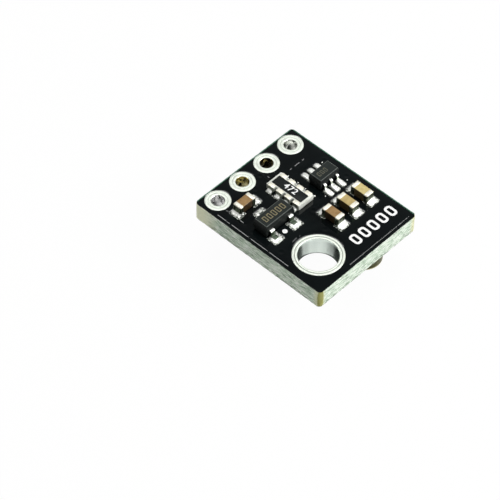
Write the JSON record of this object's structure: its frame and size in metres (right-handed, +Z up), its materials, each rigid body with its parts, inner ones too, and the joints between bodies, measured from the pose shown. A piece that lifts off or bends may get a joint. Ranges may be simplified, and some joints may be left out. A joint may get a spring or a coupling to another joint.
{
  "type": "pressure sensor module",
  "caption": "Small black circuit board with a header row, a plated mounting hole, surface-mount parts on top and a gel-filled pressure sensor in a round metal cap underneath.",
  "frame": {"origin": "mounting hole axis at the board's underside", "axes": "+X along the header row, +Y from the mounting hole end to the header end, +Z up through the component side"},
  "size_m": [0.0103, 0.0122, 0.0056],
  "materials": {
    "laminate": "sawn glass-fibre and epoxy laminate, pale grey-green edges with fine fibre streaks",
    "soldermask": "black screen-printed soldermask, smooth and glossy",
    "tinned_copper": "hot-air levelled tin on copper, bright with soft ripples",
    "copper_foil": "etched copper foil under the soldermask",
    "solder": "bright reflowed solder with smooth curved faces",
    "tinned_lead": "matte tin plating on formed copper alloy leads",
    "moulding_compound": "moulded filled epoxy, fine eroded grain",
    "alumina": "fired white alumina",
    "resistor_coating": "printed dark glass coating",
    "tinned_terminal": "dipped and tinned terminals, satin",
    "brown_ceramic": "fired brown dielectric ceramic, smooth",
    "tan_ceramic": "fired tan dielectric ceramic, smooth",
    "cream_ceramic": "fired pale dielectric ceramic, smooth",
    "sensor_ceramic": "fired off-white alumina carrier",
    "stainless_cap": "drawn stainless steel, satin with a brighter rim",
    "silicone_gel": "soft clear-white silicone gel with a dished surface",
    "silicon": "polished silicon",
    "pedestal_glass": "borosilicate glass",
    "gold_wire": "drawn gold wire"
  },
  "bodies": {
    "root": {"substrate": "laminate", "soldermask_top": "soldermask", "soldermask_bottom": "soldermask", "copper_top": "copper_foil", "copper_bottom": "copper_foil", "header_hole_1": "tinned_copper", "header_hole_2": "tinned_copper", "header_hole_3": "tinned_copper", "header_hole_4": "tinned_copper", "mounting_hole_plating": "tinned_copper", "via_barrels": "copper_foil", "lands_top": "tinned_copper", "lands_bottom": "tinned_copper", "regulator_body": "moulding_compound", "regulator_lead_1": "tinned_lead", "regulator_lead_2": "tinned_lead", "regulator_lead_3": "tinned_lead", "regulator_solder": "solder", "transistor_body": "moulding_compound", "transistor_lead_1": "tinned_lead", "transistor_lead_2": "tinned_lead", "transistor_lead_3": "tinned_lead", "transistor_lead_4": "tinned_lead", "transistor_lead_5": "tinned_lead", "transistor_lead_6": "tinned_lead", "transistor_solder": "solder", "array_ceramic": "alumina", "array_coating": "resistor_coating", "array_terminals": "tinned_terminal", "array_solder": "solder", "capacitor_1": "brown_ceramic", "capacitor_2": "brown_ceramic", "capacitor_3": "tan_ceramic", "capacitor_4": "cream_ceramic", "capacitor_ends_1": "tinned_terminal", "capacitor_ends_2": "tinned_terminal", "capacitor_ends_3": "tinned_terminal", "capacitor_ends_4": "tinned_terminal", "capacitor_solder": "solder", "sensor_base": "sensor_ceramic", "sensor_cap": "stainless_cap", "sensor_gel": "silicone_gel", "pressure_die": "silicon", "die_pedestal": "pedestal_glass", "converter_chip": "silicon", "bond_wires": "gold_wire", "sensor_solder": "solder"}
  },
  "joints": []
}
